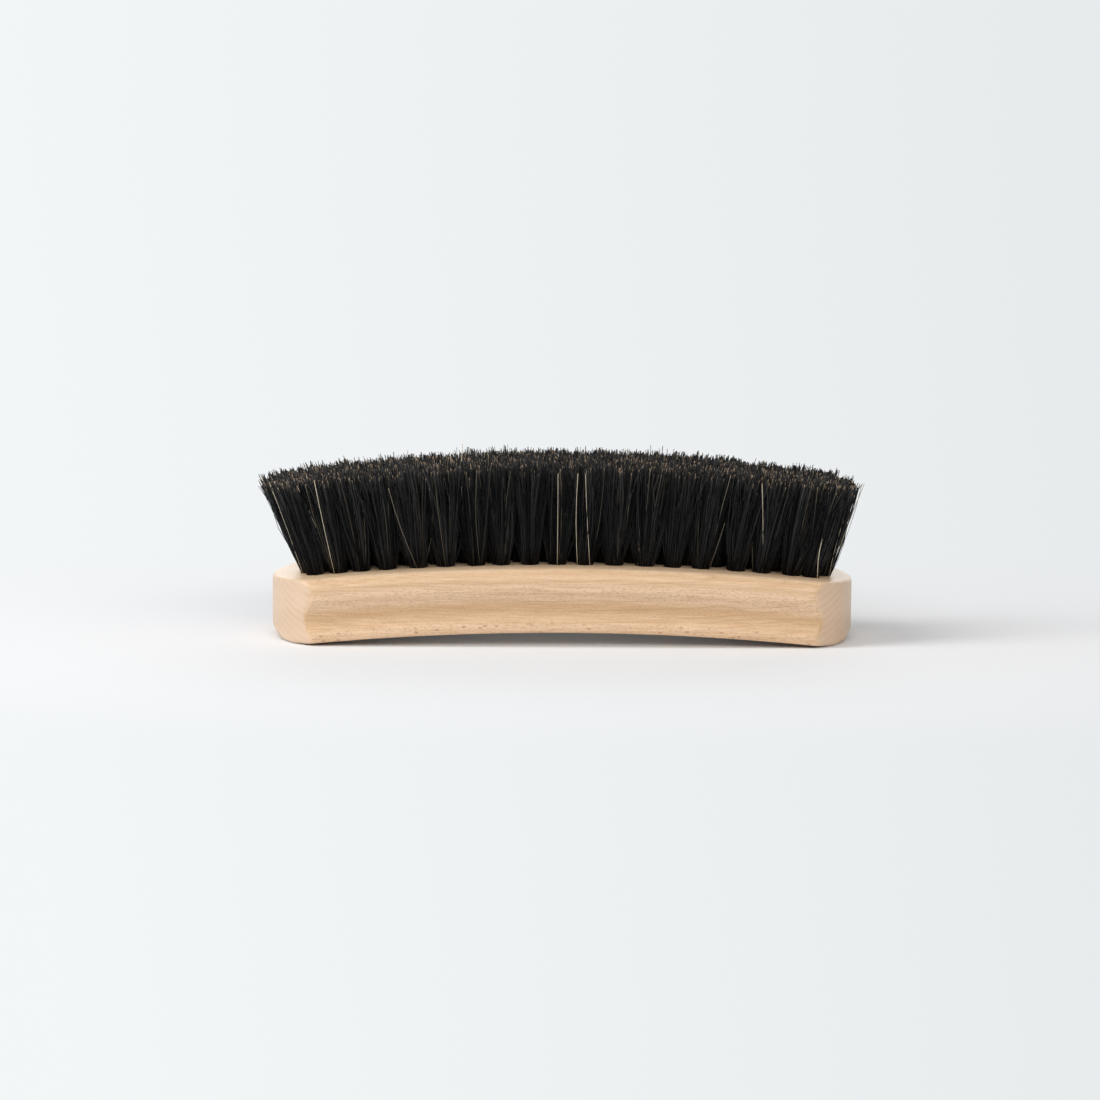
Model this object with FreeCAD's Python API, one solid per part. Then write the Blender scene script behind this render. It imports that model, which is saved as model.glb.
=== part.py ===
import FreeCAD
import Part
import math
import os

# Shoe shine brush: an arched beech block with finger grooves, filled with fan-set tufts of horsehair.
# Each tuft is doubled under a staple, a short length of flat wire that is jammed across its blind hole.
# Millimetres. +X runs along the block, +Y across it and +Z up through the bristles. The brush lies on
# its back, and the origin is on the surface under it, below the middle of the block.

Vector = FreeCAD.Vector

# Block
block_length = 175.0
block_width = 50.0
block_thickness = 19.0
arch_radius = 780.0        # underside, seen from the side
end_bulge = 12.3           # rounded ends, seen from above, past the corners at the sides
roll_radius = 7.0          # the underside rolls up to the ends
roll_overshoot = 0.8       # the roll is cut off by the end before it is upright
shoulder_drop = 2.6        # rounded edge beside the bristles
shoulder_width = 3.7
lower_land = 2.7           # flat strip below the finger groove
groove_height = 9.6
groove_depth = 1.7
underside_edge_chamfer = 0.6

# Tuft layout: rows run along the block, and every second row is shifted by half a pitch
rows = 5
tufts_in_first_row = 19
end_margin = 8.65          # from the ends of the block to the outermost tufts
side_margin = 13.0         # from the sides of the block to the two outer rows
fan_along = 1.096          # pitch of the trimmed tips, as a multiple of the pitch of the holes
fan_across = 1.333
tip_gap = 0.4              # between the tips of neighbouring tufts
outer_tip_reach = 4.0      # of the two outer rows, from the middle of the tuft to the outside
outer_tip_round = 2.0      # how far the corners of those tips draw back
bristle_length = 29.4      # from the bristle face to the trimmed tips

# Tuft holes, tuft roots and staples
hole_diameter = 5.0        # six flat sides stand for the round wall
hole_depth = 11.0
root_clearance = 0.1       # all round, between a tuft and its hole
neck_height = 0.3          # a tuft starts to spread this far over the bristle face
fold_height = 1.5          # of the doubled hairs under a staple
wire_thickness = 0.5
wire_height = 1.8
wire_clearance = 0.05      # between a staple and the hairs round it
wedge_clearance = 0.01     # between the ends of a staple and the wood

# Worked-out sizes
half_width = block_width / 2
end_radius = (half_width ** 2 + end_bulge ** 2) / (2 * end_bulge)
roll_middle_x = block_length / 2 + roll_overshoot - roll_radius
arch_middle_z = roll_radius - math.sqrt((arch_radius + roll_radius) ** 2 - roll_middle_x ** 2)
face_radius = arch_radius + block_thickness
trim_radius = face_radius + bristle_length
tuft_pitch = (block_length - 2 * end_margin) / tufts_in_first_row    # along the bristle face
row_pitch = (block_width - 2 * side_margin) / (rows - 1)             # across the bristle face
tip_pitch = tuft_pitch * fan_along
tip_row_pitch = row_pitch * fan_across
hole_radius = hole_diameter / 2
hole_corner = hole_radius / math.cos(math.pi / 6)
spare = 5.0                # how far cutting shapes run past what they cut


def polar(radius, angle):
    """The point at that distance from the middle of the arch, and at that angle from upright."""
    return Vector(radius * math.sin(angle), 0, arch_middle_z + radius * math.cos(angle))


def polygon_edges(points):
    return [Part.makeLine(a, b) for a, b in zip(points, points[1:])]


def closed_edges(points):
    return polygon_edges(points + points[:1])


def arc_edge(start, through, end):
    return Part.Arc(start, through, end).toShape()


def face_of(edges):
    return Part.Face(Part.Wire(edges))


def side_outline():
    """The block from the side: arched underside that rolls up at both ends, and open above."""
    roll_middle = Vector(roll_middle_x, 0, roll_radius)
    arch_middle = Vector(0, 0, arch_middle_z)
    outward = (roll_middle - arch_middle).normalize()
    meet = arch_middle + outward * arch_radius
    upright = roll_middle + Vector(roll_radius, 0, 0)
    halfway = (meet - roll_middle).normalize() + Vector(1, 0, 0)
    on_roll = roll_middle + halfway.normalize() * roll_radius
    top = Vector(upright.x, 0, arch_middle_z + face_radius + spare)

    def mirrored(p):
        return Vector(-p.x, p.y, p.z)

    edges = [
        arc_edge(mirrored(meet), polar(arch_radius, 0), meet),
        arc_edge(meet, on_roll, upright),
        *polygon_edges([upright, top, mirrored(top), mirrored(upright)]),
        arc_edge(mirrored(upright), mirrored(on_roll), mirrored(meet)),
    ]
    face = face_of(edges)
    face.translate(Vector(0, -half_width - spare, 0))
    return face.extrude(Vector(0, block_width + 2 * spare, 0))


def plan_outline():
    """The block from above: straight sides between ends that are arcs."""
    past_side = (math.asin(half_width / end_radius) + math.pi / 2) / 2
    side_y = end_radius * math.sin(past_side)
    corner_x = block_length / 2 - end_radius * (1 - math.cos(past_side))
    corners = [Vector(corner_x * i, side_y * j, 0) for i, j in ((1, -1), (1, 1), (-1, 1), (-1, -1))]
    end = Vector(block_length / 2, 0, 0)
    edges = [
        arc_edge(corners[0], end, corners[1]),
        Part.makeLine(corners[1], corners[2]),
        arc_edge(corners[2], -end, corners[3]),
        Part.makeLine(corners[3], corners[0]),
    ]
    face = face_of(edges)
    face.translate(Vector(0, 0, -spare))
    return face.extrude(Vector(0, 0, arch_middle_z + face_radius + 3 * spare))


def moulded_bar():
    """The block's section carried along the arch: grooved sides, rounded shoulders and the bristle face."""
    def at(y, height):
        return Vector(0, y, arch_middle_z + arch_radius + height)

    shoulder_radius = (shoulder_width ** 2 + shoulder_drop ** 2) / (2 * shoulder_drop)
    shoulder_turn = math.asin(shoulder_width / shoulder_radius) / 2
    groove_top = lower_land + groove_height

    def side(sign):
        low = at(sign * half_width, -spare)
        groove_start = at(sign * half_width, lower_land)
        groove_bottom = at(sign * (half_width - groove_depth), lower_land + groove_height / 2)
        groove_end = at(sign * half_width, groove_top)
        nose = at(sign * half_width, block_thickness - shoulder_drop)
        round_middle_y = half_width - shoulder_width
        on_round = at(
            sign * (round_middle_y + shoulder_radius * math.sin(shoulder_turn)),
            block_thickness - shoulder_radius * (1 - math.cos(shoulder_turn)),
        )
        crest = at(sign * round_middle_y, block_thickness)
        edges = [
            Part.makeLine(low, groove_start),
            arc_edge(groove_start, groove_bottom, groove_end),
            Part.makeLine(groove_end, nose),
            arc_edge(nose, on_round, crest),
        ]
        return low, crest, edges

    low_right, crest_right, right = side(1)
    low_left, crest_left, left = side(-1)
    section = face_of(
        right
        + [Part.makeLine(crest_right, crest_left)]
        + left[::-1]
        + [Part.makeLine(low_left, low_right)]
    )
    reach = math.degrees(math.asin((block_length / 2 + spare) / arch_radius))
    axis_point = Vector(0, 0, arch_middle_z)
    section.rotate(axis_point, Vector(0, 1, 0), -reach)
    return section.revolve(axis_point, Vector(0, 1, 0), 2 * reach)


def block_blank():
    """The block before drilling, with its two long underside edges eased."""
    blank = moulded_bar().common(side_outline()).common(plan_outline())

    def is_long_underside_edge(edge):
        box = edge.BoundBox
        on_side = abs(abs(box.Center.y) - half_width) < 1e-6 and box.YLength < 1e-6
        return on_side and box.ZMax < arch_middle_z + arch_radius + 1e-6

    long_edges = [edge for edge in blank.Edges if is_long_underside_edge(edge)]
    return blank.makeChamfer(underside_edge_chamfer, long_edges)


class Tuft:
    """Where one tuft stands: its mouth on the bristle face, its tip, and the axes of its hole."""

    def __init__(self, row, place):
        across = row - (rows - 1) / 2
        mouth_angle = place * tuft_pitch / face_radius
        tip_angle = place * tip_pitch / trim_radius
        self.row = row
        self.mouth = polar(face_radius, mouth_angle) + Vector(0, across * row_pitch, 0)
        self.tip = polar(trim_radius, tip_angle) + Vector(0, across * tip_row_pitch, 0)
        self.tip_along = Vector(math.cos(tip_angle), 0, -math.sin(tip_angle))
        self.out = (self.tip - self.mouth).normalize()
        self.across = self.out.cross(Vector(1, 0, 0)).normalize()
        self.along = self.across.cross(self.out)
        self.bottom = self.mouth - self.out * hole_depth

    def placement(self):
        """Takes shapes drawn upright on the bottom of a hole to this tuft's hole."""
        a, b, c, p = self.along, self.across, self.out, self.bottom
        return FreeCAD.Placement(FreeCAD.Matrix(
            a.x, b.x, c.x, p.x,
            a.y, b.y, c.y, p.y,
            a.z, b.z, c.z, p.z,
            0, 0, 0, 1,
        ))


def lay_out_tufts():
    """Columns across the block, from left to right. Each holds the tufts of every second row."""
    columns = {}
    for row in range(rows):
        count = tufts_in_first_row + row % 2
        for i in range(count):
            place = i - (count - 1) / 2
            columns.setdefault(place, []).append(Tuft(row, place))
    return [columns[place] for place in sorted(columns)]


def placed(shape, tuft):
    copy = shape.copy()
    copy.Placement = tuft.placement()
    return copy


def drill_shape():
    """A tuft hole upright on its bottom, with two of its corners pointing across the brush."""
    angles = [math.tau * (i + 0.5) / 6 for i in range(6)]
    foot = [Vector(hole_corner * math.cos(a), hole_corner * math.sin(a), 0) for a in angles]
    return face_of(closed_edges(foot)).extrude(Vector(0, 0, hole_depth + spare))


def upright_wire(thickness, length, height, low):
    """A flat wire on its edge, across a hole that stands upright, with its underside at that height."""
    return Part.makeBox(thickness, length, height, Vector(-thickness / 2, -length / 2, low))


def staple_shape():
    """Reaches into the corners of the hole, where its ends jam: more than the width of the round hole."""
    reach = hole_corner - (wire_thickness / 2 + wedge_clearance) / math.sqrt(3) - wedge_clearance
    return upright_wire(wire_thickness, 2 * reach, wire_height, fold_height)


def staple_room():
    """What the staple takes up among the hairs. It is open at both ends."""
    gap = 2 * wire_clearance
    return upright_wire(
        wire_thickness + gap, hole_diameter + 2 * spare, wire_height + gap, fold_height - wire_clearance
    )


def tip_corners(row):
    """Corners of a tuft's tip, along and across the brush: its share of the staggered field."""
    share = 1 - tip_gap / tip_pitch
    peak = (tip_pitch ** 2 / 4 + tip_row_pitch ** 2) / (2 * tip_row_pitch)
    inner = (peak * share, (tip_row_pitch - peak) * share)
    outer = (outer_tip_reach, outer_tip_reach - outer_tip_round)
    low_peak, low_side = outer if row == 0 else inner
    high_peak, high_side = outer if row == rows - 1 else inner
    half = tip_pitch / 2 * share
    return [
        (half, high_side), (0, high_peak), (-half, high_side),
        (-half, -low_side), (0, -low_peak), (half, -low_side),
    ]


def pressed_share(corners):
    """The largest share of a tip that fits in the hole with room all round."""
    room = hole_radius - root_clearance
    shares = [room / abs(x) for x, y in corners if x]
    shares += [2 * room / (abs(x) + abs(y) * math.sqrt(3)) for x, y in corners]
    return min(shares)


def tuft_body(tuft):
    """The hairs: pressed to a bundle in the hole, then spreading to the trimmed tip."""
    tip = tip_corners(tuft.row)
    middle = (max(y for x, y in tip) + min(y for x, y in tip)) / 2
    centred = [(x, y - middle) for x, y in tip]
    share = pressed_share(centred)
    root = [(x * share, y * share) for x, y in centred]

    def spread(corners):
        return [tuft.tip_along * x + Vector(0, y, 0) for x, y in corners]

    foot_height = root_clearance - min(corner.dot(tuft.out) for corner in spread(root))
    rings = [
        [tuft.bottom + tuft.out * foot_height + corner for corner in spread(root)],
        [tuft.mouth + tuft.out * neck_height + corner for corner in spread(root)],
        [tuft.tip + corner for corner in spread(tip)],
    ]
    faces = [face_of(closed_edges(rings[0])), face_of(closed_edges(rings[-1]))]
    for low, high in zip(rings, rings[1:]):
        for i in range(len(tip)):
            j = (i + 1) % len(tip)
            faces.append(face_of(closed_edges([low[i], low[j], high[j], high[i]])))
    return Part.Solid(Part.Shell(faces))


def save(name, solids):
    shape = solids[0] if len(solids) == 1 else Part.makeCompound(solids)
    shape.exportStep(os.path.join("parts", name + ".step"))
    print(f"{name}: {len(solids)} solid(s), {sum(s.Volume for s in solids) / 1000:.2f} cm3")


def main():
    os.makedirs("parts", exist_ok=True)
    columns = lay_out_tufts()
    tufts = [tuft for column in columns for tuft in column]
    staple = staple_shape()
    staples = {tuft: placed(staple, tuft) for tuft in tufts}

    drill = drill_shape()
    drilled = [placed(drill, tuft) for tuft in tufts]
    block = block_blank().cut(drilled)
    save("block", block.Solids)

    room = staple_room()
    for number, column in enumerate(columns, 1):
        solids = [tuft_body(tuft).cut(placed(room, tuft)).Solids[0] for tuft in column]
        save(f"tufts_column_{number:02d}", solids)

    for row in range(rows):
        save(f"staples_row_{row + 1}", [staples[tuft] for tuft in tufts if tuft.row == row])


main()
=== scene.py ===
import math
import bpy
import numpy as np
from mathutils import Matrix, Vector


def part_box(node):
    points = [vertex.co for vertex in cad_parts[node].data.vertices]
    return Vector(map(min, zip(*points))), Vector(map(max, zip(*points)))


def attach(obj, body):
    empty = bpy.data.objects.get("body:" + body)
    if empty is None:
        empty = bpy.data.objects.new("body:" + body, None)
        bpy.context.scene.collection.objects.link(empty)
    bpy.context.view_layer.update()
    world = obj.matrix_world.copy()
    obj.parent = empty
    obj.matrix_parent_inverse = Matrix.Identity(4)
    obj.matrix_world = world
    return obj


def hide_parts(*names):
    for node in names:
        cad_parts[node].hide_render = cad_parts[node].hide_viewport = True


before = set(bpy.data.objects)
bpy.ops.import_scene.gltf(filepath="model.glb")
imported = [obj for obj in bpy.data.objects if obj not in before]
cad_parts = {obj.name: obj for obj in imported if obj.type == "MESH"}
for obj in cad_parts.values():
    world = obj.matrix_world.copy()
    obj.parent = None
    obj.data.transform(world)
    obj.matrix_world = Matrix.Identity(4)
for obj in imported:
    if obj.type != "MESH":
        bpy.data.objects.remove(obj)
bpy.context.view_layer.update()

mm = 0.001
scene = bpy.context.scene
print("frame loaded:", len(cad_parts), "nodes")


# a new mesh object from arrays: points, then faces as rows of corner numbers
def makePiece(name, points, faceGroups):
    mesh = bpy.data.meshes.new(name)
    corners = np.concatenate([faces.ravel() for faces in faceGroups])
    sides = np.concatenate([np.full(len(faces), faces.shape[1]) for faces in faceGroups])
    mesh.vertices.add(len(points))
    mesh.vertices.foreach_set("co", points.astype(np.float32).ravel())
    mesh.loops.add(len(corners))
    mesh.loops.foreach_set("vertex_index", corners.astype(np.int32))
    mesh.polygons.add(len(sides))
    mesh.polygons.foreach_set("loop_start", (np.cumsum(sides) - sides).astype(np.int32))
    mesh.polygons.foreach_set("use_smooth", np.full(len(sides), True))
    mesh.update(calc_edges=True)
    piece = bpy.data.objects.new(name, mesh)
    scene.collection.objects.link(piece)
    return piece


# quads between neighbours on a grid of corner numbers; on a closed grid the last column joins the first
def gridFaces(rows, columns, closed):
    number = np.arange(rows * columns).reshape(rows, columns)
    after = np.roll(number, -1, axis=1)
    if not closed:
        number, after = number[:, :-1], after[:, :-1]
    return np.stack([number[:-1], after[:-1], after[1:], number[1:]], axis=-1).reshape(-1, 4)


# vectors divided by their lengths
def unit(vectors):
    return vectors / np.linalg.norm(vectors, axis=-1, keepdims=True)


# a material that holds one Principled shader and its output
def newMaterial(name):
    material = bpy.data.materials.new(name)
    material.use_nodes = True
    tree = material.node_tree
    tree.nodes.clear()
    out = tree.nodes.new("ShaderNodeOutputMaterial")
    shader = tree.nodes.new("ShaderNodeBsdfPrincipled")
    tree.links.new(shader.outputs[0], out.inputs[0])
    return material, tree, shader


# one node: settings are attributes, inputs are numbers, vectors or other nodes' sockets
def node(tree, kind, inputs=(), **settings):
    new = tree.nodes.new("ShaderNode" + kind)
    for key, value in settings.items():
        setattr(new, key, value)
    for key, value in dict(inputs).items():
        if isinstance(value, bpy.types.NodeSocket):
            tree.links.new(value, new.inputs[key])
        else:
            new.inputs[key].default_value = value
    return new


def maths(tree, operation, a, b=0.0, c=0.0):
    return node(tree, "Math", {0: a, 1: b, 2: c}, operation=operation).outputs[0]


def times(tree, a, b):
    return maths(tree, "MULTIPLY", a, b)


# a * (1 - share) + b * share; a colour is three numbers or a socket
def blendColour(tree, share, a, b):
    a, b = ((*colour, 1) if isinstance(colour, tuple) else colour for colour in (a, b))
    return node(tree, "Mix", {0: share, 6: a, 7: b}, data_type="RGBA").outputs[2]


# a value read off stops of (place, level) or (place, colour), with straight lines between them
def steps(tree, value, stops):
    ramp = node(tree, "ValToRGB", {0: value})
    marks = ramp.color_ramp.elements
    while len(marks) < len(stops):
        marks.new(0.5)
    for mark, (place, level) in zip(marks, stops):
        mark.position = place
        mark.color = (*level, 1) if isinstance(level, tuple) else (level, level, level, 1)
    return ramp.outputs[0]


def objectPlace(tree):
    return node(tree, "TexCoord").outputs["Object"]


def scaledPlace(tree, scale):
    return node(tree, "VectorMath", {0: objectPlace(tree), 1: scale}, operation="MULTIPLY").outputs[0]


# noise with its own number of cycles per metre in x, y and z
def noiseOf(tree, scale, detail=2.0, rough=0.5):
    inputs = {"Vector": scaledPlace(tree, scale), "Scale": 1.0, "Detail": detail, "Roughness": rough}
    return node(tree, "TexNoise", inputs).outputs[0]


# the brush's own sizes, in millimetres, as the solids have them
brush = dict(length=175.0, width=50.0, thickness=19.0, archRadius=780.0, endBulge=12.3,
             rollRadius=7.0, rollOvershoot=0.8, rows=5, firstRowTufts=19, endMargin=8.65, sideMargin=13.0,
             fanAlong=1.096, fanAcross=1.333, hairLength=29.4)
halfWidth = brush["width"] / 2
endRadius = (halfWidth ** 2 + brush["endBulge"] ** 2) / (2 * brush["endBulge"])
faceRadius = brush["archRadius"] + brush["thickness"]
trimRadius = faceRadius + brush["hairLength"]
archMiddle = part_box("block")[1].z / mm - faceRadius        # height of the middle of the arch
tuftPitch = (brush["length"] - 2 * brush["endMargin"]) / brush["firstRowTufts"]
rowPitch = (brush["width"] - 2 * brush["sideMargin"]) / (brush["rows"] - 1)
middleRow = (brush["rows"] - 1) / 2
lastPlace = brush["firstRowTufts"] / 2                     # a place counts tufts from the block's middle


# beech: tilted growth rings, fibre streaks along the block, short dark flecks in bands on the long sides and
# paler ends; pale bands over the height, the upper one paler partly as painted light where the groove faces
# down, and a top face made paler as painted light. Sizes are in millimetres and grains in cycles per metre; a
# band has stops over the height, each a share of the thickness and a strength there
beechLook = dict(
    light=(0.645, 0.452, 0.292), warm=(0.515, 0.324, 0.162), line=(0.420, 0.240, 0.108),
    paleBand=(0.750, 0.552, 0.382), paintedLightTop=(0.790, 0.590, 0.400), endGrain=(0.610, 0.458, 0.335),
    fleck=(0.370, 0.220, 0.120), spot=(0.330, 0.185, 0.100),
    ringWidth=2.7, ringTilt=26.0, ringSlope=0.010, ringSag=0.55, ringWave=2.6, endRings=1.3,
    fibreLength=11.0, fibreWidth=0.34, fibreRough=0.62, bandDrift=3.0,
    fleckSpace=(1.35, 0.8, 0.34), fleckSize=(0.20, 0.44), spotSpace=(3.4, 3.0, 1.5), spotSize=(0.14, 0.26),
    waveGrain=(9, 45, 45), lateGrain=(16, 130, 130), broadGrain=(9, 70, 130), driftGrain=(16, 60, 60),
    endPatches=(60, 160, 160),
    warmBands=((0.12, 0.0), (0.24, 0.75), (0.44, 0.75), (0.58, 0.12), (0.74, 0.05), (0.86, 0.25)),
    paleAndPaintedLightBands=((0.14, 0.15), (0.20, 0.1), (0.44, 0.1), (0.54, 0.70), (0.74, 0.70), (0.84, 0.1)),
    fleckBands=((0.02, 0.9), (0.14, 1.0), (0.20, 0.66), (0.44, 0.70), (0.54, 0.95), (0.74, 0.95),
                (0.84, 0.4)),
    spotBand=((0.03, 1.0), (0.13, 1.0), (0.18, 0.0)), paintedLightTopBand=((0.80, 0.0), (0.88, 1.0)),
    ringStrength=0.85, ringLeast=0.22, broadStrength=0.32, fibreDark=0.44, fibreBright=0.38,
    fleckStrength=0.52, fleckRelief=0.8, spotStrength=0.70, endStrength=0.85, endFibre=0.1,
    roughness=(0.32, 0.46), specular=0.5, coat=0.12, coatRoughness=0.28, relief=0.35, reliefHeight=0.18,
)


# rings: distance across the tilted layers, sagging with x squared and waved a little, in ring widths
def beechRings(tree):
    look = beechLook
    place, tilt = objectPlace(tree), math.radians(look["ringTilt"])
    upright = (-look["ringSlope"], -math.sin(tilt), math.cos(tilt))
    across = node(tree, "VectorMath", {0: place, 1: upright}, operation="DOT_PRODUCT").outputs["Value"]
    x = node(tree, "SeparateXYZ", {0: place}).outputs[0]
    sagged = maths(tree, "MULTIPLY_ADD", times(tree, x, x), -look["ringSag"], across)
    waved = maths(tree, "MULTIPLY_ADD", noiseOf(tree, look["waveGrain"], 3), look["ringWave"] * mm, sagged)
    return maths(tree, "DIVIDE", waved, look["ringWidth"] * mm)


# height over the arched back: distance from the middle of the arch, less its radius, with a slow drift,
# in shares of the thickness
def beechHeight(tree):
    lower = (0, 0, -archMiddle * mm)
    level = node(tree, "VectorMath", {0: objectPlace(tree), 1: lower}, operation="ADD").outputs[0]
    flat = node(tree, "VectorMath", {0: level, 1: (1, 0, 1)}, operation="MULTIPLY").outputs[0]
    radius = node(tree, "VectorMath", {0: flat}, operation="LENGTH").outputs["Value"]
    height = maths(tree, "MULTIPLY_ADD", radius, 1 / mm, -brush["archRadius"])
    most = beechLook["bandDrift"]
    drift = maths(tree, "MULTIPLY_ADD", noiseOf(tree, beechLook["driftGrain"]), most, -most / 2)
    return maths(tree, "DIVIDE", maths(tree, "ADD", height, drift), brush["thickness"])


# drops: one flat drop round each point of a stretched cell pattern, full inside and gone outside
def beechDrops(tree, space, size):
    stretched = scaledPlace(tree, tuple(1 / (step * mm) for step in space))
    cells = node(tree, "TexVoronoi", {"Vector": stretched, "Scale": 1.0})
    return steps(tree, cells.outputs["Distance"], [(size[0], 1.0), (size[1], 0.0)])


# the late wood is a dark line near the end of each ring; the ends show soft rings instead of lines and fibres
def beechMaterial():
    look = beechLook
    material, tree, shader = newMaterial("sandedBeech")
    count, share = beechRings(tree), beechHeight(tree)
    facing = node(tree, "SeparateXYZ", {0: node(tree, "TexCoord").outputs["Normal"]}).outputs
    atEnd = steps(tree, maths(tree, "ABSOLUTE", facing[0]), [(0.30, 0.0), (0.55, 1.0)])
    onSides = maths(tree, "SUBTRACT", 1.0, atEnd)
    # painted light: the upward face near the crest gets a paler colour, standing in for light falling on it
    facesUp = steps(tree, facing[2], [(0.72, 0.0), (0.97, 1.0)])
    paintedLightTopShare = times(tree, facesUp, steps(tree, share, look["paintedLightTopBand"]))
    warmer = steps(tree, share, look["warmBands"])
    longways, crossways = 1 / (look["fibreLength"] * mm), 1 / (look["fibreWidth"] * mm)
    fibre = noiseOf(tree, (longways, crossways, crossways), 4, look["fibreRough"])

    colour = blendColour(tree, warmer, look["light"], look["warm"])
    broad = steps(tree, noiseOf(tree, look["broadGrain"], 3), [(0.35, 0.0), (0.7, look["broadStrength"])])
    colour = blendColour(tree, broad, colour, look["warm"])
    # pale bands over the height: the lower lip is the wood's own paler strip; the upper band is partly the
    # wood's paler tone and partly painted light on the groove's downward-facing upper part
    colour = blendColour(tree, steps(tree, share, look["paleAndPaintedLightBands"]), colour, look["paleBand"])
    # painted light: the top face is lightened towards its paler colour
    colour = blendColour(tree, paintedLightTopShare, colour, look["paintedLightTop"])
    colour = blendColour(tree, times(tree, atEnd, look["endStrength"]), colour, look["endGrain"])

    swing = maths(tree, "SINE", times(tree, count, 2 * math.pi * look["endRings"]))
    patches = steps(tree, noiseOf(tree, look["endPatches"], 3), [(0.35, 0.05), (0.65, 0.28)])
    softRings = times(tree, maths(tree, "MULTIPLY_ADD", swing, 0.5, 0.5), patches)
    colour = blendColour(tree, times(tree, atEnd, softRings), colour, look["line"])
    ringStops = [(0.0, 0.0), (0.62, 0.04), (0.83, 0.40), (0.905, 1.0), (0.96, 0.0)]
    broken = steps(tree, noiseOf(tree, look["lateGrain"]), [(0.38, 0.10), (0.66, 1.0)])
    late = times(tree, steps(tree, maths(tree, "FRACT", count), ringStops), broken)
    along = maths(tree, "MULTIPLY_ADD", atEnd, look["endFibre"] - 1, 1.0)
    strength = maths(tree, "MULTIPLY_ADD", warmer, look["ringStrength"], look["ringLeast"])
    colour = blendColour(tree, times(tree, late, times(tree, along, strength)), colour, look["line"])
    dark = steps(tree, fibre, [(0.34, look["fibreDark"]), (0.54, 0.0)])
    colour = blendColour(tree, times(tree, along, dark), colour, look["line"])
    bright = steps(tree, fibre, [(0.54, 0.0), (0.70, look["fibreBright"])])
    colour = blendColour(tree, times(tree, along, bright), colour, look["paleBand"])

    drops = beechDrops(tree, look["fleckSpace"], look["fleckSize"])
    flecks = times(tree, times(tree, drops, steps(tree, share, look["fleckBands"])), onSides)
    colour = blendColour(tree, times(tree, flecks, look["fleckStrength"]), colour, look["fleck"])
    lowEdge = times(tree, steps(tree, share, look["spotBand"]), onSides)   # where the larger spots are
    spots = times(tree, beechDrops(tree, look["spotSpace"], look["spotSize"]), lowEdge)
    colour = blendColour(tree, times(tree, spots, look["spotStrength"]), colour, look["spot"])
    tree.links.new(colour, shader.inputs["Base Color"])

    low, high = look["roughness"]
    tree.links.new(steps(tree, fibre, [(0.3, high), (0.7, low)]), shader.inputs["Roughness"])
    relief = maths(tree, "MULTIPLY_ADD", flecks, -look["fleckRelief"], fibre)
    height = look["reliefHeight"] * mm
    bump = node(tree, "Bump", {"Height": relief, "Strength": look["relief"], "Distance": height})
    tree.links.new(bump.outputs[0], shader.inputs["Normal"])
    shader.inputs["Specular IOR Level"].default_value = look["specular"]
    shader.inputs["Coat Weight"].default_value = look["coat"]
    shader.inputs["Coat Roughness"].default_value = look["coatRoughness"]
    return material


beech = beechMaterial()


# block: its section carried along the arch, closed by rounded ends, all edges eased
blockPiece = dict(easing=0.6, endEasing=1.0, landHeight=2.7, grooveHeight=9.6, grooveDepth=1.7,
                  shoulderDrop=2.6, shoulderWidth=3.7, liftPower=3, grooveSteps=40, shoulderSteps=24,
                  sectionPoints=260, alongSteps=36, endSteps=16, easeSteps=5)


# an arc through three points, as even steps round its middle
def arcThrough(a, b, c, count):
    (ax, ay), (bx, by), (cx, cy) = a, b, c
    twice = 2 * (ax * (by - cy) + bx * (cy - ay) + cx * (ay - by))
    squares = [x ** 2 + y ** 2 for x, y in (a, b, c)]
    mx = (squares[0] * (by - cy) + squares[1] * (cy - ay) + squares[2] * (ay - by)) / twice
    my = (squares[0] * (cx - bx) + squares[1] * (ax - cx) + squares[2] * (bx - ax)) / twice
    angle = np.unwrap([math.atan2(y - my, x - mx) for x, y in (a, b, c)])
    turn = np.linspace(angle[0], angle[2], count)
    radius = math.hypot(ax - mx, ay - my)
    return np.stack([mx + radius * np.cos(turn), my + radius * np.sin(turn)], axis=1)


# an even closed outline with its corners eased: every point is averaged with its neighbours by a bell curve
def eased(outline, amount):
    ring = outline[:, 0] + 1j * outline[:, 1]
    turns = np.fft.fftfreq(len(ring), np.abs(np.roll(ring, -1) - ring).mean())
    ring = np.fft.ifft(np.fft.fft(ring) * np.exp(-2 * (math.pi * amount * turns) ** 2))
    return np.stack([ring.real, ring.imag], axis=1)


# the section, one side from below to above, then mirrored: strip, groove, strip and rounded shoulder,
# stepped evenly round
def blockSection():
    s = blockPiece
    w, t = halfWidth, brush["thickness"]
    grooveTop = s["landHeight"] + s["grooveHeight"]
    crestY = w - s["shoulderWidth"]
    shoulder = (s["shoulderWidth"] ** 2 + s["shoulderDrop"] ** 2) / (2 * s["shoulderDrop"])
    half = math.asin(s["shoulderWidth"] / shoulder) / 2
    onShoulder = (crestY + shoulder * math.sin(half), t - shoulder * (1 - math.cos(half)))
    inGroove = (w - s["grooveDepth"], s["landHeight"] + s["grooveHeight"] / 2)
    side = np.concatenate([
        [(0, 0), (w, 0)],
        arcThrough((w, s["landHeight"]), inGroove, (w, grooveTop), s["grooveSteps"]),
        arcThrough((w, t - s["shoulderDrop"]), onShoulder, (crestY, t), s["shoulderSteps"]),
        [(0, t)],
    ])
    loop = np.concatenate([side, side[-2::-1] * (-1, 1)])
    run = np.concatenate([[0], np.cumsum(np.linalg.norm(np.diff(loop, axis=0), axis=1))])
    even = np.linspace(0, run[-1], s["sectionPoints"] + 1)[:-1]
    outline = np.stack([np.interp(even, run, loop[:, 0]), np.interp(even, run, loop[:, 1])], axis=1)
    return eased(outline, s["easing"])


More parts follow.
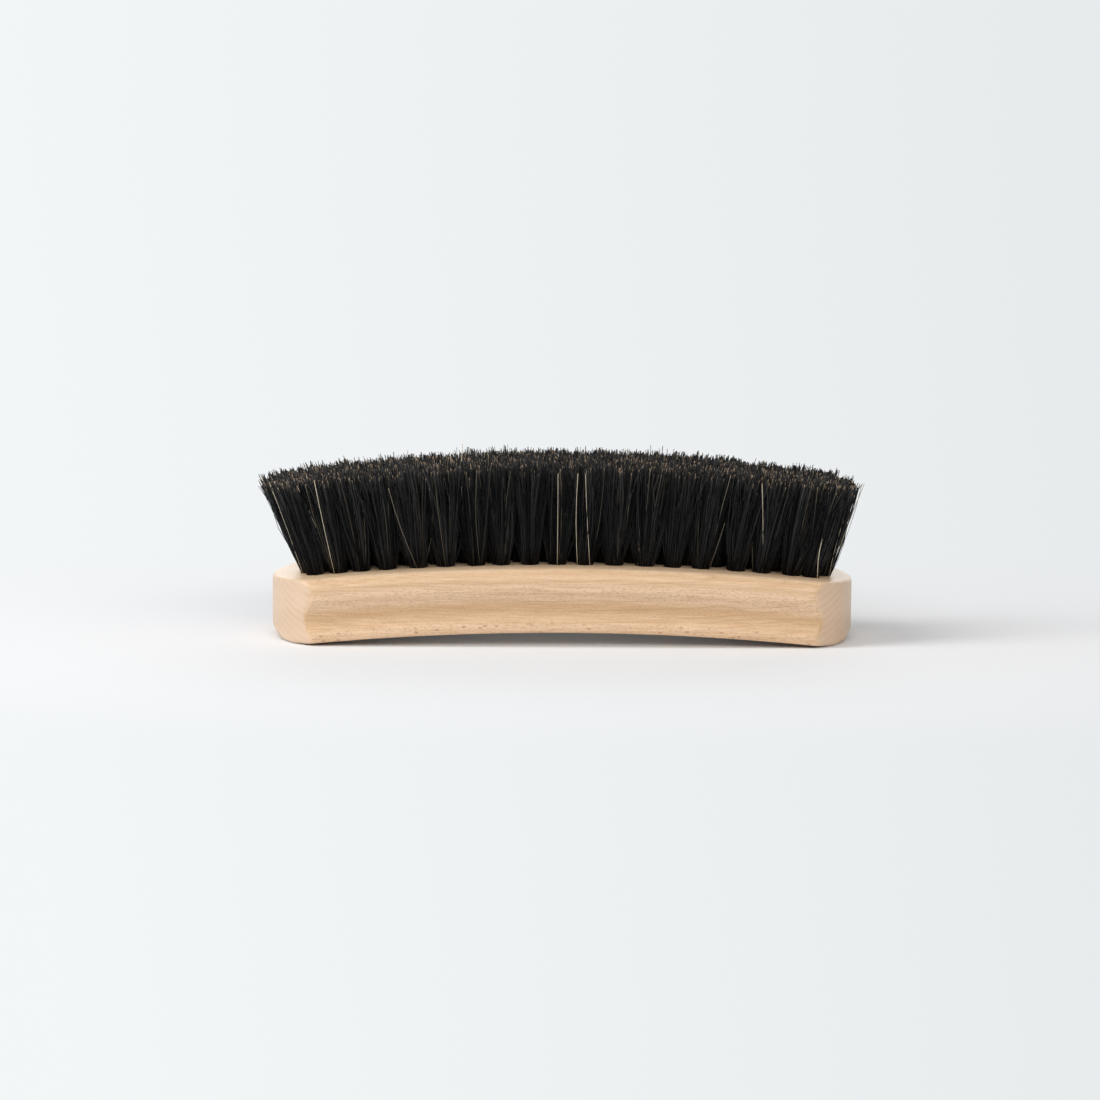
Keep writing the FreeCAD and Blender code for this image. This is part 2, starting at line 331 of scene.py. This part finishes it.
# every point of the section goes to x = share of the way to the rounded end, less the easing there;
# its height is the arch's height at x, and the back lifts to the roll circle near the ends
def blockMesh():
    s = blockPiece
    section = blockSection()
    soft = eased(section, s["endEasing"])
    run = unit(np.roll(soft, -1, axis=0) - soft) + unit(soft - np.roll(soft, 1, axis=0))
    inward = unit(np.stack([-run[:, 1], run[:, 0]], axis=1))
    n, ease = s["alongSteps"], s["endEasing"]
    quarter = np.linspace(0, math.pi / 2, s["easeSteps"] + 1)[1:]
    insets = np.concatenate([np.zeros(n), ease * (1 - np.cos(quarter)), np.full(s["endSteps"], ease)])
    drops = np.concatenate([np.full(n, ease), ease * (1 - np.sin(quarter)), np.zeros(s["endSteps"])])
    shares = np.concatenate([np.linspace(0, 1, n), np.ones(s["easeSteps"] + s["endSteps"])])
    gather = np.concatenate([np.zeros(n + s["easeSteps"]), np.linspace(0, 1, s["endSteps"] + 1)[1:]])
    core = np.array([0.0, brush["thickness"] / 2])         # the end closes on this point of the section

    yh = section[None] + inward[None] * insets[:, None, None]
    yh = yh + (core - yh) * gather[:, None, None]
    y, h = yh[..., 0], yh[..., 1]
    reach = brush["length"] / 2 - endRadius + np.sqrt(endRadius ** 2 - y ** 2)
    x = shares[:, None] * (reach - drops[:, None])
    high = archMiddle + np.sqrt((brush["archRadius"] + h) ** 2 - x ** 2)
    back = archMiddle + np.sqrt(brush["archRadius"] ** 2 - x ** 2)
    roll = brush["rollRadius"]
    past = np.clip(x - (brush["length"] / 2 + brush["rollOvershoot"] - roll), 0, roll)
    lift = np.maximum(roll - np.sqrt(roll ** 2 - past ** 2) - back, 0) * (past > 0)
    z = high + lift * (1 - h / brush["thickness"]) ** s["liftPower"]
    half = np.stack([x, y, z], axis=-1)
    return np.concatenate([half[:0:-1] * (-1, 1, 1), half]) * mm


points = blockMesh()
blockFaces = gridFaces(points.shape[0], points.shape[1], True)[:, ::-1]
block = makePiece("beechBlock", points.reshape(-1, 3), [blockFaces])
block.data.materials.append(beech)
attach(block, "root")
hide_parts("block")
print("block:", len(block.data.polygons), "faces")


# horsehair: near-black with greyer and brown hairs and a few pale ones; some cut ends are lighter. The greyer
# hairs are partly the hair's own tone and partly painted glints standing in for highlights along single
# hairs.
# tones are places on one colour scale from black to pale, and each kind of hair has its own stretch of it
hairLook = dict(black=(0.0030, 0.0033, 0.0038), dark=(0.0064, 0.0069, 0.0078), greyAndGlint=(0.044, 0.046, 0.049),
                brown=(0.0320, 0.0290, 0.0250), tan=(0.130, 0.114, 0.088), pale=(0.62, 0.55, 0.43),
                cutEnd=(0.490, 0.357, 0.230), roughness=0.36, specular=0.12, cutFrom=0.965,
                darkTones=(0.0, 0.58), brownTones=(0.60, 0.78), tanTones=(0.82, 0.94), paleTones=(0.97, 1.0),
                lighterEnds=((0.30, 0.0), (0.46, 0.05), (0.49, 0.66), (0.58, 0.66), (0.62, 0.04), (0.80, 0.9),
                             (0.96, 0.9)))


def hairMaterial():
    look = hairLook
    material, tree, shader = newMaterial("horsehair")
    tone = node(tree, "Attribute", attribute_name="tone").outputs["Fac"]
    along = node(tree, "Attribute", attribute_name="along").outputs["Fac"]
    # the grey stop is partly painted glints, standing in for highlights along single hairs
    colour = steps(tree, tone, [(0.0, look["black"]), (0.28, look["dark"]), (0.55, look["greyAndGlint"]),
                                (0.60, look["brown"]), (0.84, look["tan"]), (0.955, look["tan"]),
                                (0.965, look["pale"])])
    nearEnd = steps(tree, along, [(look["cutFrom"], 0.0), (1.0, 1.0)])
    ends = times(tree, nearEnd, steps(tree, tone, look["lighterEnds"]))
    tree.links.new(blendColour(tree, ends, colour, look["cutEnd"]), shader.inputs["Base Color"])
    shader.inputs["Roughness"].default_value = look["roughness"]
    shader.inputs["Specular IOR Level"].default_value = look["specular"]
    return material


horsehair = hairMaterial()

# tufts: hairs leave a round hole in small locks, spread to the tuft's share of the tips and end on the arch.
# sizes are in millimetres, and a pair is for the left and the right end.
# frontRowShift and endShift move tufts along the block from their even places.
# each pale hair: row, place, foot along and across (shares of the hole), tip along and across, length, tone
tuftPiece = dict(hairs=700, locks=70, looseShare=0.22, thickness=0.195, thinning=1.10, sizeSpread=0.22,
                 sides=3, rings=(-0.055, 0.2, 0.46, 0.73, 1.0), holeRadius=2.45, reachAlong=4.6,
                 reachAcross=4.05, sideReach=3.3, endReach=2.2, endSlack=0.5, endFray=(1.7, 1.0),
                 lockSpread=0.13, tipGather=0.7, lockScatter=1.3, hairScatter=0.25, looseScatter=2.1,
                 lockBow=0.75, hairBow=0.22, wildShare=0.03, wildBow=1.1, lean=0.5, footShift=0.3,
                 tipFollow=0.7, trimLift=0.25, lockTrim=0.85, hairTrim=0.45, shortShare=0.12, shortMost=9.0,
                 longShare=0.006, longLeast=0.3, longMost=1.3, endDrop=2.4,
                 endSplay=(-3.2, -0.6), splayFrom=(6.5, 7.5), splayOver=(3.0, 2.0), endShift=(2.4, -0.9),
                 frontRowShift=(0.4, -0.9, -2.3, -2.8, -1.9, -2.0, -1.2, -2.0, -1.8, -1.9,
                                -1.9, -1.3, -0.4, -0.5, -0.3, 1.9, 1.2, 1.9, -0.4),
                 paleShare=0.0015, tanShare=0.010, brownShare=0.06,
                 paleSize=1.05, paleBow=0.4, paleFlat=0.3, paleLift=0.8,
                 paleHairs=((0, -8, -0.5, -1.05, -1.0, -5.6, 1.0, 1.0),
                            (1, -9.5, -0.75, -0.75, -3.2, -8.6, 1.0, 0.962),
                            (0, -5, -0.1, -1.05, -6.9, -5.4, 0.86, 0.93),
                            (0, 0, 0.0, -1.05, -0.7, -5.4, 0.97, 1.0),
                            (0, 1, -0.90, -0.8, -3.9, -5.4, 0.97, 1.0),
                            (0, 1, 0.60, -1.1, -1.7, -5.4, 0.97, 1.0),
                            (0, 7, 0.2, -0.3, -6.0, -6.2, 0.95, 1.0),
                            (0, 9, 0.80, -1.0, -3.2, -5.6, 0.42, 0.97),
                            (1, 9.5, 0.95, -0.6, 0.9, -3.8, 0.6, 0.96),
                            (2, -4, 0.0, 0.0, 5.4, 0.0, 1.2, 0.97),
                            (1, 9.5, 1.0, -0.2, 4.4, -2.0, 1.0, 0.962),
                            (0, 5, 0.95, -0.8, 6.8, -5.4, 0.5, 0.955)),
                 chartMargin=0.01, seed=41)


# the point at that distance from the middle of the arch and at that angle from upright, y given
def onArch(radius, angle, y):
    angle = np.asarray(angle, float)
    high = archMiddle + radius * np.cos(angle)
    return np.stack([radius * np.sin(angle), np.broadcast_to(y, angle.shape), high], axis=-1)


# even points on a disc of radius one: a turn, and a distance that is the root of an even share
def onDisc(rng, count):
    turn, far = rng.uniform(0, 2 * math.pi, count), np.sqrt(rng.uniform(0, 1, count))
    return np.stack([far * np.cos(turn), far * np.sin(turn)], axis=1)


# from a disc to a square: pushed outwards until the rim is the edge of the square
def squared(points):
    widest = np.maximum(np.abs(points).max(axis=1, keepdims=True), 1e-9)
    return points * np.linalg.norm(points, axis=1, keepdims=True) / widest


# where a tuft stands along the block, at its foot and at its tip: even places, its own shift, and a splay
# that grows towards the end
def tuftStand(rng, row, place):
    s, end = tuftPiece, int(place > 0)                     # 0 for the left end, 1 for the right
    shift = rng.normal(0, s["footShift"])
    if row == 0:
        shift = s["frontRowShift"][int(place) + brush["firstRowTufts"] // 2]
    elif abs(place) == lastPlace:
        shift = s["endShift"][end]
    splay = s["endSplay"][end] * max(0.0, (abs(place) - s["splayFrom"][end]) / s["splayOver"][end])
    splay = splay + rng.normal(0, s["lean"])
    even = place * tuftPitch
    return even + shift, even * brush["fanAlong"] + shift * s["tipFollow"] + splay, splay


# the hairs of a lock start close together and their tips gather again; loose hairs go their own way
def hairFeet(rng):
    s, n = tuftPiece, tuftPiece["hairs"]
    lockAt = onDisc(rng, s["locks"])
    lock = rng.integers(0, s["locks"], n)
    loose = (rng.uniform(0, 1, n) < s["looseShare"])[:, None]
    looseAt = onDisc(rng, n)
    off = rng.normal(0, s["lockSpread"], (n, 2))
    root = np.where(loose, looseAt, lockAt[lock] + off)
    root = root / np.maximum(np.linalg.norm(root, axis=1, keepdims=True), 1)
    aim = np.where(loose, squared(root), squared(lockAt)[lock] + off * s["tipGather"])
    return root, aim, lock, loose


# tips round the tuft's own tip: aim times reach, plus a scatter; the reach is less on the outer side of the
# outer rows and beyond the ends
def hairTips(rng, row, place, aim, lock, loose):
    s, n, side = tuftPiece, tuftPiece["hairs"], row - middleRow
    lastColumns = abs(place) >= lastPlace - 0.5            # the last one, and the one half a pitch before it
    outer = (abs(side) == middleRow) & (aim[:, 1] * side > 0)
    beyond = lastColumns & (aim[:, 0] * place > 0)
    reach = np.stack([np.where(beyond, s["endReach"], s["reachAlong"]),
                      np.where(outer, s["sideReach"], s["reachAcross"])], axis=1)
    lockMove = rng.normal(0, s["lockScatter"], (s["locks"], 2))
    looseMove = rng.normal(0, s["looseScatter"], (n, 2))
    hairMove = rng.normal(0, s["hairScatter"], (n, 2))
    end = aim * reach + np.where(loose, looseMove, lockMove[lock] + hairMove)
    if lastColumns:
        outward = np.sign(place)
        limit = s["endReach"] + s["endSlack"] + np.abs(rng.normal(0, s["endFray"][int(place > 0)], n))
        end[:, 0] = outward * np.minimum(end[:, 0] * outward, limit)
    return end


# length in shares of the full one: trims of the lock and of the hair, a few short or long hairs,
# and a drop that grows with the square of the place
def hairLengths(rng, place, lock):
    s, n = tuftPiece, tuftPiece["hairs"]
    lockTrim = rng.normal(0, s["lockTrim"], s["locks"])
    trim = s["trimLift"] + lockTrim[lock] + rng.normal(0, s["hairTrim"], n)
    short = rng.uniform(0, 1, n) < s["shortShare"]
    trim = np.where(short, -rng.uniform(0, s["shortMost"], n), trim)
    long = rng.uniform(0, 1, n) < s["longShare"]
    trim = np.where(long, s["trimLift"] + rng.uniform(s["longLeast"], s["longMost"], n), trim)
    trim = trim - s["endDrop"] * (place / lastPlace) ** 2
    return 1 + trim / brush["hairLength"]


# bow along and across: that of the lock plus that of the hair, which is larger for a few wild hairs
def hairBows(rng, lock):
    s, n = tuftPiece, tuftPiece["hairs"]
    own = np.where(rng.uniform(0, 1, n) < s["wildShare"], s["wildBow"], s["hairBow"])[:, None]
    lockBow = rng.normal(0, s["lockBow"], (s["locks"], 2))
    return lockBow[lock] + rng.normal(0, 1, (n, 2)) * own


# tone within the stretch of the hair's kind, where dark hairs take half of it from their lock, so some locks
# run greyer, partly as painted glints; and thickness
def hairTones(rng, lock):
    s, n = tuftPiece, tuftPiece["hairs"]
    kind = np.cumsum([s["paleShare"], s["tanShare"], s["brownShare"]])
    pick, fine = rng.uniform(0, 1, n), rng.uniform(0, 1, n)
    mixed = 0.5 * fine + 0.5 * rng.uniform(0, 1, s["locks"])[lock]

    def toned(name, share):
        low, high = hairLook[name]
        return low + (high - low) * share

    tone = np.select([pick < kind[0], pick < kind[1], pick < kind[2]],
                     [toned("paleTones", fine), toned("tanTones", fine), toned("brownTones", fine)],
                     toned("darkTones", mixed))
    size = np.exp(rng.normal(0, s["sizeSpread"], n))
    return tone, np.where(tone >= hairLook["paleTones"][0], s["paleSize"], size)


# each hair: foot + (tip - foot) * length * t + a bow of 4 t (1 - t), as a three-sided tube through the rings
def hairTubes(rng, foot, tip, length, bow, size):
    s = tuftPiece
    t = np.array(s["rings"])[None, :, None]
    inside = np.clip(t, 0, 1)
    bend = np.pad(bow, ((0, 0), (0, 1)))[:, None]
    line = foot[:, None] + ((tip - foot) * length[:, None])[:, None] * t + bend * 4 * inside * (1 - inside)
    ahead = unit(np.gradient(line, axis=1))
    sideways = unit(np.cross(ahead, np.array([0.0, 1.0, 0.0])))
    other = np.cross(ahead, sideways)
    thick = s["thickness"] / 2 * (1 + (s["thinning"] - 1) * inside) * size[:, None, None]
    corner = np.arange(s["sides"]).reshape(1, 1, -1, 1) * 2 * math.pi / s["sides"]
    spin = rng.uniform(0, 2 * math.pi, (len(size), 1, 1, 1)) + corner
    out = np.cos(spin) * sideways[:, :, None] + np.sin(spin) * other[:, :, None]
    return line[:, :, None] + out * thick[:, :, None]


# one tuft: the tubes of its hairs and their tones
def tuftHairs(row, place):
    s, side = tuftPiece, row - middleRow
    rng = np.random.default_rng(s["seed"] + 1000 * row + int(round(2 * place + 40)))   # its own for each tuft
    mouthX, tipX, splay = tuftStand(rng, row, place)
    root, aim, lock, loose = hairFeet(rng)
    end = hairTips(rng, row, place, aim, lock, loose)
    length = hairLengths(rng, place, lock)
    bow = hairBows(rng, lock)
    tone, size = hairTones(rng, lock)

    for *hole, footU, footV, endU, endV, share, shade in s["paleHairs"]:
        if hole == [row, place]:
            root = np.append(root, [(footU, footV)], axis=0)
            end = np.append(end, [(endU - splay, endV)], axis=0)
            length, tone = np.append(length, share), np.append(tone, shade)
            size = np.append(size, s["paleSize"])
            outwards = rng.normal(0, s["paleBow"], (1, 2)) * (1, s["paleFlat"]) - (0, s["paleLift"])
            bow = np.append(bow, outwards, axis=0)         # over the other hairs

    footX = mouthX + root[:, 0] * s["holeRadius"]
    foot = onArch(faceRadius, footX / faceRadius, side * rowPitch + root[:, 1] * s["holeRadius"])
    tipY = side * rowPitch * brush["fanAcross"] + end[:, 1]
    tip = onArch(trimRadius, (tipX + end[:, 0]) / trimRadius, tipY)
    return hairTubes(rng, foot, tip, length, bow, size), tone


# corner numbers of the tubes: quads between the rings of each, a triangle at each end
def tubeFaces(count, rings, sides):
    quads = gridFaces(rings, sides, True)
    start = (np.arange(count) * rings * sides)[:, None, None]
    first = np.arange(sides)
    caps = np.stack([first[::-1], first + (rings - 1) * sides])
    return (quads[None] + start).reshape(-1, 4), (caps[None] + start).reshape(-1, sides)


# a column of tufts across the block; its chart is tone by place along the hair, inside a margin
def hairColumn(name, tufts):
    made = [tuftHairs(row, place) for row, place in tufts]
    skin = np.concatenate([tubes for tubes, tone in made])
    tone = np.concatenate([tone for tubes, tone in made])
    count, rings, sides = skin.shape[:3]
    quads, caps = tubeFaces(count, rings, sides)
    piece = makePiece(name, skin.reshape(-1, 3) * mm, [quads, caps])
    mesh = piece.data
    along = np.clip(np.array(tuftPiece["rings"]), 0, 1)
    tonePoints = np.repeat(tone, rings * sides).astype(np.float32)
    alongPoints = np.tile(np.repeat(along, sides), count).astype(np.float32)
    mesh.attributes.new("tone", "FLOAT", "POINT").data.foreach_set("value", tonePoints)
    mesh.attributes.new("along", "FLOAT", "POINT").data.foreach_set("value", alongPoints)
    corners = np.concatenate([quads.ravel(), caps.ravel()])
    margin = tuftPiece["chartMargin"]
    chart = np.stack([tonePoints[corners], alongPoints[corners]], axis=1) * (1 - 2 * margin) + margin
    mesh.uv_layers.new(name="OFBake").data.foreach_set("uv", chart.astype(np.float32).ravel())
    mesh.materials.append(horsehair)
    return piece


places = np.arange(-brush["firstRowTufts"], brush["firstRowTufts"] + 1) / 2
for index, place in enumerate(places):
    rows = range((index + 1) % 2, brush["rows"], 2)        # staggered: every second row, by turns
    piece = hairColumn(f"hairColumn{index + 1:02d}", [(row, place) for row in rows])
    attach(piece, "root")
    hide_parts(f"tufts_column_{index + 1:02d}")
print("hair columns:", len(places))


# staples: flat wire inside the block, kept from the solids; grain is in cycles per metre
wireLook = dict(bright=(0.56, 0.54, 0.50), dull=(0.40, 0.38, 0.35), roughness=0.34, grain=(2500, 400, 9000))


def wireMaterial():
    look = wireLook
    material, tree, shader = newMaterial("flatWire")
    colour = blendColour(tree, noiseOf(tree, look["grain"]), look["bright"], look["dull"])
    tree.links.new(colour, shader.inputs["Base Color"])
    shader.inputs["Metallic"].default_value = 1.0
    shader.inputs["Roughness"].default_value = look["roughness"]
    return material


flatWire = wireMaterial()
for number in range(1, brush["rows"] + 1):
    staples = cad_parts[f"staples_row_{number}"].data
    staples.materials.clear()
    staples.materials.append(flatWire)
print("staple rows:", brush["rows"])


# sweep: a pale floor that curves up to a wall behind the brush, in metres. Round the brush it is lit and
# takes the shadow, further off the camera sees an even paper colour with a painted fall-off of light to the
# right, and under the arch a painted glow lightens the shadow
sweep = dict(halfWidth=8.0, front=-4.0, bendStart=3.0, bend=1.5, wall=5.0, lowered=0.00005, floorSteps=12,
             bendSteps=25, colour=(0.785, 0.800, 0.828), roughness=0.85, specular=0.1,
             farColour=(0.853, 0.877, 0.888), litTo=0.045, evenFrom=0.20, paintedGlow=0.095, paintedGlowTo=0.072,
             paintedFallOff=0.055, paintedFallTo=0.13, eyeAway=1.3, eyeLeast=0.3)


# a line along y, a quarter turn upwards and a line up, carried along x
def sweepMesh():
    s = sweep
    turn = np.linspace(0, math.pi / 2, s["bendSteps"])
    floorY = np.linspace(s["front"], s["bendStart"], s["floorSteps"])[:-1]
    y = np.concatenate([floorY, s["bendStart"] + s["bend"] * np.sin(turn), [s["bendStart"] + s["bend"]]])
    z = np.concatenate([np.zeros(len(floorY)), s["bend"] * (1 - np.cos(turn)), [s["wall"]]]) - s["lowered"]
    x = np.array([-s["halfWidth"], 0.0, s["halfWidth"]])
    return np.stack(np.broadcast_arrays(x, y[:, None], z[:, None]), axis=-1)


# share of the even colour: a smooth step of the distance from the brush, with half of x, but under the arch
# at least a painted glow of 1 - (x / paintedGlowTo) squared that lightens the shadow there; its level falls
# with x over the distance from the eye, a painted fall-off of light
def paperMaterial():
    s = sweep
    material, tree, shader = newMaterial("palePaper")
    shader.inputs["Base Color"].default_value = (*s["colour"], 1)
    shader.inputs["Roughness"].default_value = s["roughness"]
    shader.inputs["Specular IOR Level"].default_value = s["specular"]
    parts = node(tree, "SeparateXYZ", {0: objectPlace(tree)}).outputs
    x, y, halfX = parts[0], parts[1], times(tree, parts[0], 0.5)
    away = maths(tree, "SQRT", maths(tree, "MULTIPLY_ADD", y, y, times(tree, halfX, halfX)))
    far = node(tree, "MapRange", {0: away, 1: s["litTo"], 2: s["evenFrom"]}, interpolation_type="SMOOTHSTEP")
    # painted light: a weak glow under the arch that lightens the shadow there
    aside = maths(tree, "DIVIDE", x, s["paintedGlowTo"])
    paintedGlow = maths(tree, "MULTIPLY_ADD", times(tree, aside, aside), -s["paintedGlow"], s["paintedGlow"])
    share = maths(tree, "MAXIMUM", far.outputs[0], paintedGlow)
    # painted shade: the even colour's level falls off to the right, standing in for the fall-off of the light
    # from the left
    fromEye = maths(tree, "MAXIMUM", maths(tree, "ADD", y, s["eyeAway"]), s["eyeLeast"])
    level = node(tree, "MapRange", {0: maths(tree, "DIVIDE", x, fromEye), 1: -s["paintedFallTo"], 2: s["paintedFallTo"],
                                    3: 1 + s["paintedFallOff"], 4: 1 - s["paintedFallOff"]}).outputs[0]
    path = node(tree, "LightPath").outputs
    mirrored = maths(tree, "MAXIMUM", path["Is Glossy Ray"], path["Is Transmission Ray"])
    seen = maths(tree, "MAXIMUM", path["Is Camera Ray"], mirrored)
    even = node(tree, "Emission", {0: (*s["farColour"], 1), 1: level}).outputs[0]
    mix = node(tree, "MixShader", {0: times(tree, share, seen), 1: shader.outputs[0], 2: even})
    tree.links.new(mix.outputs[0], tree.nodes["Material Output"].inputs[0])
    return material


grid = sweepMesh()
floor = makePiece("paperSweep", grid.reshape(-1, 3), [gridFaces(grid.shape[0], grid.shape[1], False)])
floor.data.materials.append(paperMaterial())

# light: an upright strip at the left, a lying one in front, weak soft boxes at the right and behind, and an
# even room; places, sizes (width and height) and the point that the lamps face are in metres
lights = dict(
    key=dict(place=(-1.12, -0.30, 0.96), size=(0.5, 1.9), power=20.8, colour=(1.0, 0.975, 0.945)),
    front=dict(place=(0.10, -1.68, 1.06), size=(2.0, 0.6), power=18.2, colour=(1.0, 0.985, 0.96)),
    fill=dict(place=(1.20, -1.10, 0.75), size=(1.0, 1.0), power=4.4, colour=(1.0, 0.78, 0.52)),
    back=dict(place=(0.30, 2.00, 0.50), size=(2.0, 2.0), power=14.0, colour=(1.0, 0.985, 0.97)),
)
lampsFace = (0.0, 0.0, 0.03)
room = dict(colour=(0.955, 0.98, 1.0), strength=0.35)


# a holder turned by its own axes: to the right, up and ahead
def turnedTo(holder, place, right, up, ahead):
    stand = np.eye(4)
    stand[:3, :3] = np.stack([right, up, -ahead], axis=1)
    stand[:3, 3] = place
    holder.matrix_world = Matrix(stand.tolist())
    scene.collection.objects.link(holder)


# a flat lamp that faces the brush
def softBox(name, place, size, power, colour):
    lamp = bpy.data.lights.new(name, "AREA")
    lamp.shape = "RECTANGLE"
    lamp.size, lamp.size_y = size
    lamp.energy = power
    lamp.color = colour
    holder = bpy.data.objects.new(name, lamp)
    holder.visible_camera = False
    ahead = unit(np.array(lampsFace) - np.array(place))
    right = unit(np.cross(ahead, np.array([0.0, 0.0, 1.0])))
    turnedTo(holder, place, right, np.cross(right, ahead), ahead)


for name, lamp in lights.items():
    softBox(name + "SoftBox", **lamp)
world = bpy.data.worlds.new("evenRoom")
scene.world = world
world.use_nodes = True
world.node_tree.nodes["Background"].inputs[0].default_value = (*room["colour"], 1)
world.node_tree.nodes["Background"].inputs[1].default_value = room["strength"]

# camera: fitted to the photograph's outline, in degrees and millimetres; focal length and frame are in pixels
view = dict(azimuth=1.14, elevation=7.88, roll=0.45, target=(-3.82, 0.0, 25.77), distance=1300.0,
            focal=4301.6, frame=1100.0, sensor=36.0, nearest=50.0)


# the camera looks ahead by azimuth and elevation, stands back from its target and is rolled about its axis
def placeCamera():
    az, el, roll = (math.radians(view[key]) for key in ("azimuth", "elevation", "roll"))
    ahead = np.array([math.sin(az) * math.cos(el), math.cos(az) * math.cos(el), -math.sin(el)])
    level = np.array([math.cos(az), -math.sin(az), 0.0])
    upright = np.cross(level, ahead)
    right = math.cos(roll) * level + math.sin(roll) * upright
    up = -math.sin(roll) * level + math.cos(roll) * upright
    lens = bpy.data.cameras.new("camera")
    lens.sensor_width = view["sensor"]
    lens.lens = view["focal"] / view["frame"] * view["sensor"]
    lens.clip_start = view["nearest"] * mm
    holder = bpy.data.objects.new("camera", lens)
    place = (np.array(view["target"]) - view["distance"] * ahead) * mm
    turnedTo(holder, place, right, up, ahead)
    scene.camera = holder


placeCamera()
scene.view_settings.view_transform = "Standard"
print("floor, light and camera set")
